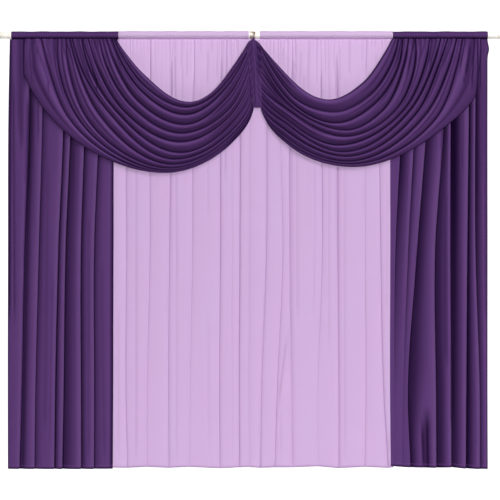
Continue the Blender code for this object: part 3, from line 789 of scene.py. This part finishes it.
def swag(look):
    table = look["creases"]
    straight = hang["straight"] + (0.0,) * len(table)
    lines = [creaseLine(row, row is table[-1], part) for row, part in zip(table, straight)]
    steps = foldSteps(swagFold, hang["steps"])
    columns = []
    shades = []
    for i in range(len(lines) - 1):
        last = i == len(lines) - 2
        deep = 0.0005 * (table[i][-1] + table[i + 1][-1])
        width = np.linalg.norm(lines[i + 1] - lines[i], axis=1)
        for v, full in steps[: None if last else -1]:
            flat = lines[i] * (1.0 - v) + lines[i + 1] * v
            run = np.concatenate([[0.0], np.cumsum(np.linalg.norm(np.diff(flat, axis=0), axis=1))])
            left = run[-1] - run
            base = hang["topY"] - hang["reach"] * (1.0 - np.exp(-run / hang["ease"]))
            near = easy(left / hang["settle"])
            base = hang["endY"] + (base - hang["endY"]) * np.where(run > left, near, 1.0)
            rise = np.clip(run / hang["swellRun"], 0.06, 1.0)
            rise = rise * np.clip(left / hang["swellRun"], 0.04, 1.0)
            depth = np.minimum(deep * rise * hang["deepShare"], hang["deepMost"] * width)
            fullShade = within(depth / hang["deepEnough"])
            y = base - depth * full
            gather = hang["gatherDeep"] * np.exp(-run / hang["gatherFall"])
            phase = (i + v) * hang["gatherEach"] * fullTurn
            y = y + gather * (np.sin(phase) + 0.5 * np.sin(phase * 1.61 + 0.9)) - gather
            share = run / run[-1]
            room = np.clip(width / 0.030, 0.2, 1.0)
            split = 0.44 + 0.17 * math.sin(i * 2.3 + 0.6) + 0.10 * (share - 0.2)
            dent = hump(v - split, hang["splitWide"])
            dent = dent * easy((0.50 + 0.10 * math.sin(i * 1.7) - share) / 0.30) * room
            other = 0.0
            for place, strong in hang["endFolds"]:
                place = place + 0.06 * math.sin(i * 2.3 + place * 9.0)
                other = max(other, strong * hump(v - place, hang["endWide"]))
            nearEnd = share - hang["endFrom"] - 0.05 * math.sin(i * 1.3)
            other = other * easy(nearEnd / 0.15) * room
            y = y + dent * hang["splitDeep"] + other * hang["endDeep"]
            # painted shade: level folds get a darker underside and a dark belt line, as light from
            # above would give; steep ones a dark line in each crease
            level = np.abs(np.gradient(flat[:, 0])) / np.maximum(np.gradient(run), 1e-6)
            inward = np.minimum(v, 1.0 - v) * width / square
            closed = np.maximum((1.0 - full) ** look["open"] * hang["faceShade"],
                                hump(inward, look["wide"]) * look["line"])
            sharp = hang["beltLine"] + 0.13 * np.sin(share * 8.0 + i * 2.1)
            belt = np.maximum(hump(inward, hang["beltWide"]) * sharp,
                              float(easy((v - 0.26) / 0.26)) * hang["underShade"])
            belt = np.maximum(belt, hang["beltFace"])
            shade = (closed + (belt - closed) * level ** 2) * fullShade
            # painted shade in the dents near the heading and the centre
            shade = np.maximum(shade, dent * hang["splitShade"])
            shade = np.maximum(shade, other * hang["endShade"])
            # painted shade lines near both ends
            nearBoth = np.maximum(easy((0.42 - share) / 0.20), easy((share - 0.74) / 0.14))
            shade = np.maximum(shade, hump(inward, 1.1) * look["line"] * nearBoth)
            # painted shade in the gathers under the heading
            gathered = np.exp(-run / hang["gatherFall"]) * (1.0 + np.sin(phase))
            shade = np.maximum(shade, 0.22 * gathered)
            column = flat[:, 0] / square + squares["rodColumn"]
            row = squares["rodRow"] - flat[:, 1] / square
            for part in look["fine"]:
                small = dict(zip(headFoldColumns, part))
                place = np.interp(row, hang["fineRows"], part[:3])
                fold = hump(column - place, small["wide"])
                fold = fold * easy((small["toRow"] - row) / hang["fineFade"])
                y = y + fold * small["deep"] * 0.001
                # painted shade in each small fold
                dark = min(hang["fineShade"] * small["deep"], hang["fineMost"])
                shade = np.maximum(shade, fold * dark)
            if last:     # the loose outer edge, right under the heading
                # painted shade along that edge
                loose = float(easy((v - 0.90) / 0.08)) * easy((0.10 - share) / 0.05)
                shade = np.maximum(shade, 0.9 * loose)
            # painted highlight just below each crease
            paintedHighlight = hump(v - 0.20, 0.10) * hang["ridge"] * fullShade
            shade = np.where(shade < hang["plainShade"], shade - paintedHighlight, shade)
            columns.append(np.stack([flat[:, 0], y, flat[:, 1]], axis=1))
            shades.append(shade)
    grid = np.array(columns).transpose(1, 0, 2)
    grid[0, :, 2] = -panelTop["tuck"]
    piece = gridObject(look["name"], grid, np.array(shades).T, purple)
    thicken(piece, hang["thickness"])
    finishPiece(piece, look["node"], "purple_jersey")
    print("swag", look["name"], "area", round(clothArea(grid), 3), "flat", look["flat"])


swag(swagLeft)
swag(swagRight)

rodLook = {
    "radius": 0.0140,
    "wall": 0.0010,
    "half": 1.0245,
    "segments": 72,
    "capLength": 0.0330,
    "capPlug": 0.0250,
    "capRadius": 0.0143,
    "seated": 0.0003,
}
hookLook = {
    "x": 0.0085,
    "width": 0.0230,
    "radius": 0.0163,
    "eye": (0.0120, -0.0200, -0.0070),
    "eyeRadius": 0.0045,
    "eyeWire": 0.0012,
    "loopRadius": 0.0050,
    "loopThick": 0.0012,
    "loopWide": 0.0056,
}


# a closed outline of (x, radius) turned about the rod's axis
def turned(name, outline, material):
    made = bpy.data.meshes.new(name)
    count = len(outline)
    segments = rodLook["segments"]
    verts = []
    for k in range(segments):
        angle = fullTurn * k / segments
        verts += [(x, r * math.cos(angle), r * math.sin(angle)) for x, r in outline]
    faces = []
    for k in range(segments):
        for j in range(count):
            n = (j + 1) % count
            m = (k + 1) % segments
            faces.append((k * count + j, k * count + n, m * count + n, m * count + j))
    made.from_pydata(verts, [], faces)
    made.validate()
    made.materials.append(material)
    return addObject(name, made)


# weld the seams, face everything outwards, keep edges sharp that turn by more than 35 degrees
def weldAndFace(piece):
    work = bmesh.new()
    work.from_mesh(piece.data)
    bmesh.ops.remove_doubles(work, verts=work.verts, dist=0.00001)
    bmesh.ops.recalc_face_normals(work, faces=work.faces)
    work.to_mesh(piece.data)
    work.free()
    piece.data.polygons.foreach_set("use_smooth", [True] * len(piece.data.polygons))
    piece.data.set_sharp_from_angle(angle=math.radians(35.0))
    return piece


half = rodLook["half"]
outer = rodLook["radius"]
inner = rodLook["radius"] - rodLook["wall"]
tubeWall = [(-half, outer), (half, outer), (half, inner), (-half, inner)]
tube = weldAndFace(turned("rodTube", tubeWall, enamel))
finishPiece(tube, "rod", "rod_enamel")

capEnds = ((-1.0, "rodCapLeft", "rod_cap_left"), (1.0, "rodCapRight", "rod_cap_right"))
for side, name, node in capEnds:
    shoulder = half + rodLook["seated"]
    end = shoulder + rodLook["capLength"]
    stem = inner - rodLook["seated"]
    rim = rodLook["capRadius"]
    plugEnd = shoulder - rodLook["capPlug"]
    outline = [(plugEnd, stem - 0.0018), (plugEnd, stem)]
    outline += [(shoulder, stem), (shoulder, rim - 0.0006), (shoulder + 0.0006, rim)]
    groove = rim - 0.0024
    outline += [(shoulder + 0.0010, rim), (shoulder + 0.0014, groove), (shoulder + 0.0044, groove)]
    outline += [(shoulder + 0.0050, rim), (end - 0.0020, rim), (end - 0.0014, rim - 0.0002)]
    outline += [(end - 0.0006, rim - 0.0010), (end, rim - 0.0022), (end, 0.0)]
    outline += [(shoulder + 0.0040, 0.0), (shoulder + 0.0040, stem - 0.0018)]
    cap = weldAndFace(turned(name, [(side * x, r) for x, r in outline], capPlastic))
    finishPiece(cap, node, "cap_plastic")
print("rod and caps made")


# a ring that lies in one plane, its section given as (outward, sideways)
def ringOf(name, centre, plane, major, section, material):
    around = 40
    grid = []
    for k in range(around):
        angle = fullTurn * k / around
        loop = []
        for out, side in section:
            level = (major + out) * math.cos(angle)
            rise = (major + out) * math.sin(angle)
            step = (side, level, rise) if plane == "yz" else (level, side, rise)
            loop.append([middle + part for middle, part in zip(centre, step)])
        grid.append(loop)
    grid.append(grid[0])
    grid = np.array(grid)
    piece = gridObject(name, grid, np.zeros(grid.shape[:2]), material, ring=True)
    return weldAndFace(piece)


# one object of several, named after the first
def joinInto(target, extras):
    bpy.ops.object.select_all(action="DESELECT")
    for piece in extras:
        piece.select_set(True)
    target.select_set(True)
    bpy.context.view_layer.objects.active = target
    bpy.ops.object.join()
    return target


width = hookLook["width"] / 2.0
bandOut = hookLook["radius"]
bandIn = rodLook["radius"] + rodLook["seated"]
outline = [(-width, bandIn), (-width, bandOut - 0.0005), (-width + 0.0005, bandOut)]
outline += [(-width + 0.0022, bandOut), (-width + 0.0028, bandOut - 0.0004)]
outline += [(width - 0.0028, bandOut - 0.0004), (width - 0.0022, bandOut)]
outline += [(width - 0.0005, bandOut), (width, bandOut - 0.0005), (width, bandIn)]
clip = weldAndFace(turned("centreHook", [(hookLook["x"] + x, r) for x, r in outline], brass))
wire = hookLook["eyeWire"]
angles = [t * math.pi / 6 for t in range(12)]
roundSection = [(wire * math.cos(angle), wire * math.sin(angle)) for angle in angles]
eye = ringOf("eye", hookLook["eye"], "xz", hookLook["eyeRadius"], roundSection, brass)


# a block between two corners, its edges rounded over
def softBlock(name, low, high, material, bevel=0.0005):
    mesh = bpy.data.meshes.new(name)
    work = bmesh.new()
    bmesh.ops.create_cube(work, size=1.0)
    for vert in work.verts:
        vert.co = Vector([low[i] + (high[i] - low[i]) * (vert.co[i] + 0.5) for i in range(3)])
    bmesh.ops.bevel(work, geom=work.edges[:], offset=bevel, segments=3, affect="EDGES")
    work.to_mesh(mesh)
    work.free()
    mesh.materials.append(material)
    return weldAndFace(addObject(name, mesh))


lug = softBlock("lug", (-0.0040, -0.0150, 0.0135), (0.0120, -0.0020, 0.0180), brass, 0.0014)
screw = softBlock("screw", (0.0040, -0.0125, 0.0165), (0.0090, -0.0075, 0.0205), brass, 0.0012)
stem = softBlock("stem", (0.0105, -0.0204, -0.0038), (0.0135, -0.0156, -0.0016), brass)
clip = joinInto(clip, [eye, lug, screw, stem])
finishPiece(clip, "centre_hook", "hook_brass")

loopThick = hookLook["loopThick"]
loopWide = hookLook["loopWide"]
eyeX, eyeY, eyeZ = hookLook["eye"]
eyeBottom = eyeZ - hookLook["eyeRadius"] + hookLook["eyeWire"]     # where the tape lies in the eye
loopZ = eyeBottom + 0.0018 - hookLook["loopRadius"]
tape = []
for t in range(16):     # a flat section with rounded edges
    out = math.sin(fullTurn * t / 16)
    side = math.cos(fullTurn * t / 16)
    tape.append((loopThick * 0.5 * math.copysign(abs(out) ** 0.4, out) + 0.0006,
                 loopWide * 0.5 * math.copysign(abs(side) ** 0.7, side)))
loop = ringOf("hangingLoop", (eyeX, eyeY, loopZ), "yz", hookLook["loopRadius"], tape, purple)
for vert in loop.data.vertices:     # the tape spreads below the eye
    below = easy((loopZ + 0.0030 - vert.co.z) / 0.0070)
    vert.co.x = eyeX + (vert.co.x - eyeX) * (1.0 + 0.55 * float(below))
finishPiece(loop, "hanging_loop", "purple_jersey")
print("clip and loop made")

pocketLook = {
    "loose": 0.0150,      # outside of the cloth on the rod
    "seam": 0.0010,       # how far the seam stands out below
    "thickness": 0.0008,
    "around": 44,
    "step": 0.0022,
    "shadeFrom": -0.0062, # painted shade where the front closes under the rod, from here
    "shadeFall": 0.0050,
    "frillShade": 0.50,   # painted shade on the purple pocket's frill, and a painted highlight as a lighter line along its front
    "frontLight": 0.25,
}
# painted shade in the hollows between the ripples
rippleShade = {"purple": 0.48, "lilac": 0.10}
fullness = {"purple": 1.2, "lilac": 1.1}     # estimated low, to fit the modelled ripples
# under: painted shade under the purple pockets, painted light (below nought) under the lilac ones
headingColumns = ("name", "node", "first", "last", "cloth",
                  "frill", "deep", "pitch", "under", "start")
headingPieces = (
    ("headingLeft", "heading_left", 11.0, 118.0, "purple", 0.0012, 0.0015, 0.0098, 0.95, 1.0),
    ("headingRight", "heading_right", 392.0, 487.0, "purple", 0.0012, 0.0015, 0.0102, 0.95, 2.3),
    ("lilacHeadingLeft", "lilac_heading_left", 118.2, 248.4, "lilac",
     0.0030, 0.0005, 0.0130, -0.90, 3.1),
    ("lilacHeadingRight", "lilac_heading_right", 259.4, 391.8, "lilac",
     0.0030, 0.0005, 0.0128, -0.90, 4.4),
)


# across and up, right round a pocket from its front
def pocketSection(frill):
    turn = np.linspace(0.0, fullTurn, pocketLook["around"] + 1)[:-1]
    up = np.maximum(0.0, np.sin(turn)) ** 8
    below = np.maximum(0.0, -np.sin(turn)) ** 10
    reach = pocketLook["loose"] + frill * up + pocketLook["seam"] * below
    return -np.cos(turn) * reach, np.sin(turn) * reach


def rodPocket(row):
    look = dict(zip(headingColumns, row))
    ys, zs = pocketSection(look["frill"])
    wide = across(look["last"]) - across(look["first"])
    count = int(wide / pocketLook["step"])
    xs = np.linspace(across(look["first"]), across(look["last"]), count + 1)
    phase = xs / look["pitch"] * fullTurn + look["start"]
    ripple = 0.5 + 0.5 * np.sin(phase + 0.9 * np.sin(xs * 37.0 + look["start"]))
    ripple = ripple ** 1.6 * (0.55 + 0.45 * np.sin(xs * 23.0 + look["start"] * 2.0) ** 2)
    ruffle = 0.0007 * np.sin(xs * 61.0 + look["start"]) * np.sin(xs * 17.0 + 0.7)
    radius = np.hypot(ys, zs)[None, :]
    top = within(zs / radius[0])[None, :] ** 6
    low = within(-zs / radius[0])[None, :] ** 6
    swell = 1.0 + (ripple[:, None] * look["deep"] * (1.0 - low) + ruffle[:, None] * top) / radius
    along = np.broadcast_to(xs[:, None], swell.shape)
    grid = np.stack([along, ys[None, :] * swell, zs[None, :] * swell], axis=2)
    # painted shade in the ripples' hollows
    fold = (1.0 - ripple)[:, None] * rippleShade[look["cloth"]]
    under = within((pocketLook["shadeFrom"] - zs) / pocketLook["shadeFall"])[None, :]
    if look["cloth"] == "purple":
        material = purple
        # painted highlight along the front, painted shade on the frill and under the rod
        frill = within((zs - 0.0100) / 0.0035)[None, :]
        fold = fold - pocketLook["frontLight"] * hump(zs - 0.0015, 0.0050)[None, :]
        fold = np.maximum(fold, pocketLook["frillShade"] * frill)
        fold = np.maximum(fold, under * look["under"])
    else:
        material = lilacOverRod
        # painted light under the lilac pocket
        fold = fold + under * look["under"]
    piece = gridObject(look["name"], grid, fold, material, ring=True)
    thicken(piece, pocketLook["thickness"], -0.010)
    finishPiece(piece, look["node"], look["cloth"] + "_jersey")
    flat = (round(wide * fullness[look["cloth"]], 3), 0.100)
    print("pocket", look["name"], "area", round(clothArea(grid), 4), "flat", flat)


for row in headingPieces:
    rodPocket(row)

bandLook = {
    "topRow": 39.4,
    "bottomRow": 107.6,
    "widths": (     # share of the way down, squares
        (0.0, 2.6), (0.03, 9.0), (0.07, 13.0), (0.15, 14.6),
        (0.30, 13.4), (0.60, 11.5), (0.85, 10.8), (1.0, 8.6),
    ),
    "middle": ((0.0, 252.4), (0.1, 253.2), (1.0, 256.4)),     # share of the way down, column
    "edgeY": -0.0192,
    "bulge": 0.0085,
    "thickness": 0.0010,
    "flat": (0.062, 0.260),     # fits the modelled folds; the real cut is longer
    "rows": 150,
    "cols": 56,
}


def centreBand():
    t = np.linspace(0.0, 1.0, bandLook["rows"] + 1)[:, None]
    u = np.linspace(-1.0, 1.0, bandLook["cols"] + 1)[None, :]
    wobble = 0.5 * np.sin(t * 34.0) * within(t * 5.0)
    half = 0.5 * square * (np.interp(t, *zip(*bandLook["widths"])) + wobble)
    middle = across(np.interp(t, *zip(*bandLook["middle"])))
    top = down(bandLook["topRow"])
    z = top + (down(bandLook["bottomRow"]) - top) * t
    x = middle + half * u
    fade = within(t * 9.0)
    bulge = bandLook["bulge"] * (1.0 - u ** 2) * (0.35 + 0.65 * fade)
    runs = np.cos(u * 7.5 + 0.7 * np.sin(t * 6.0)) + 0.6 * np.cos(u * 15.0 + 1.0 + np.sin(t * 11.0))
    slant = np.sin(t * 52.0 - 7.0 * np.abs(u + 0.1) + 0.6 * np.sin(t * 17.0)) * np.abs(u) ** 0.8
    ruche = np.sin(t * 210.0 + 2.0 * u) * hump(t - 0.17, 0.07)
    y = bandLook["edgeY"] - bulge - 0.0010 * runs * fade - 0.0010 * slant * fade - 0.0007 * ruche
    grid = np.stack(np.broadcast_arrays(x, y, z), axis=2)
    # painted shade over the band, darker in its ruches and slanting folds and in a streak right of
    # its middle in its upper part
    fold = 0.30 - 0.08 * runs * fade + 0.16 * ruche + 0.20 * slant * fade
    fold = fold + 0.45 * hump(u - 0.75, 0.35) * within((0.62 - t) / 0.2) * fade
    piece = gridObject("swagCentreBand", grid, fold, purple)
    thicken(piece, bandLook["thickness"])
    finishPiece(piece, "swag_centre_band", "purple_jersey")
    print("centre band area", round(clothArea(grid), 4), "flat", bandLook["flat"])


centreBand()

studio = {
    "floorZ": -2.30,
    "floorReach": 3.0,
    "roomReach": 24.0,
    "camera": (-0.0021, -9.0, -0.8923),
    "frameWidth": 500.0 * square,
    "lights": (     # name, place, size, power, throws shadows
        ("front", (2.0, -12.4, 1.4), 5.2, 850.0, True),
        ("upper", (5.2, -8.4, 11.0), 4.0, 1875.0, False),
        ("behind", (-4.0, 10.0, 2.5), 5.0, 620.0, True),
    ),
    "aim": (0.0, 0.0, -0.8),
    "world": 0.07,
}


def plainStage(name, corners, faces, glow):
    paint, shader, wire = newMaterial(name + "Paint")
    cloud = wire.node("TexNoise", None, {"Scale": 0.8, "Detail": 2.0})
    plug(cloud.blend(colour(0.90, 0.90, 0.90), colour(0.93, 0.93, 0.93)), shader, "Base Color")
    shader.inputs["Roughness"].default_value = 0.9
    shader.inputs["Emission Color"].default_value = colour(1.0, 1.0, 1.0)
    shader.inputs["Emission Strength"].default_value = glow
    mesh = bpy.data.meshes.new(name)
    mesh.from_pydata(corners, [], faces)
    mesh.materials.append(paint)
    made = addObject(name, mesh)
    return made


def squareCorners(reach, z):
    return [(-reach, -reach, z), (reach, -reach, z), (reach, reach, z), (-reach, reach, z)]


plainStage("floor", squareCorners(studio["floorReach"], studio["floorZ"]), [(0, 1, 2, 3)], 0.0)
low, high, reach = -studio["roomReach"], studio["roomReach"], studio["roomReach"]
sides = [(0, 4, 5, 1), (1, 5, 6, 2), (2, 6, 7, 3), (3, 7, 4, 0), (4, 7, 6, 5), (0, 1, 2, 3)]
corners = squareCorners(reach, low) + squareCorners(reach, high)
backdrop = plainStage("backdrop", corners, sides, 1.0)
backdrop.visible_diffuse = False      # it shows white behind the part and lights nothing
backdrop.visible_glossy = False
backdrop.visible_shadow = False


def areaLight(name, place, size, power, shadows):
    data = bpy.data.lights.new(name, "AREA")
    data.shape = "SQUARE"
    data.size = size
    data.energy = power
    data.use_shadow = shadows
    made = addObject(name, data)
    made.location = place
    towards = Vector(studio["aim"]) - Vector(place)
    made.rotation_euler = towards.to_track_quat("-Z", "Y").to_euler()


for light in studio["lights"]:
    areaLight(*light)

world = bpy.data.worlds.new("studioWorld")
world.use_nodes = True
world.node_tree.nodes["Background"].inputs[0].default_value = colour(1.0, 1.0, 1.0)
world.node_tree.nodes["Background"].inputs[1].default_value = studio["world"]
bpy.context.scene.world = world
bpy.context.scene.view_settings.view_transform = "Standard"

lens = bpy.data.cameras.new("camera")
lens.sensor_width = 36.0
lens.lens = 36.0 * abs(studio["camera"][1]) / studio["frameWidth"]
lens.clip_end = 50.0
camera = addObject("camera", lens)
camera.location = studio["camera"]
camera.rotation_euler = (math.radians(90.0), 0.0, 0.0)
bpy.context.scene.camera = camera
print("room made")
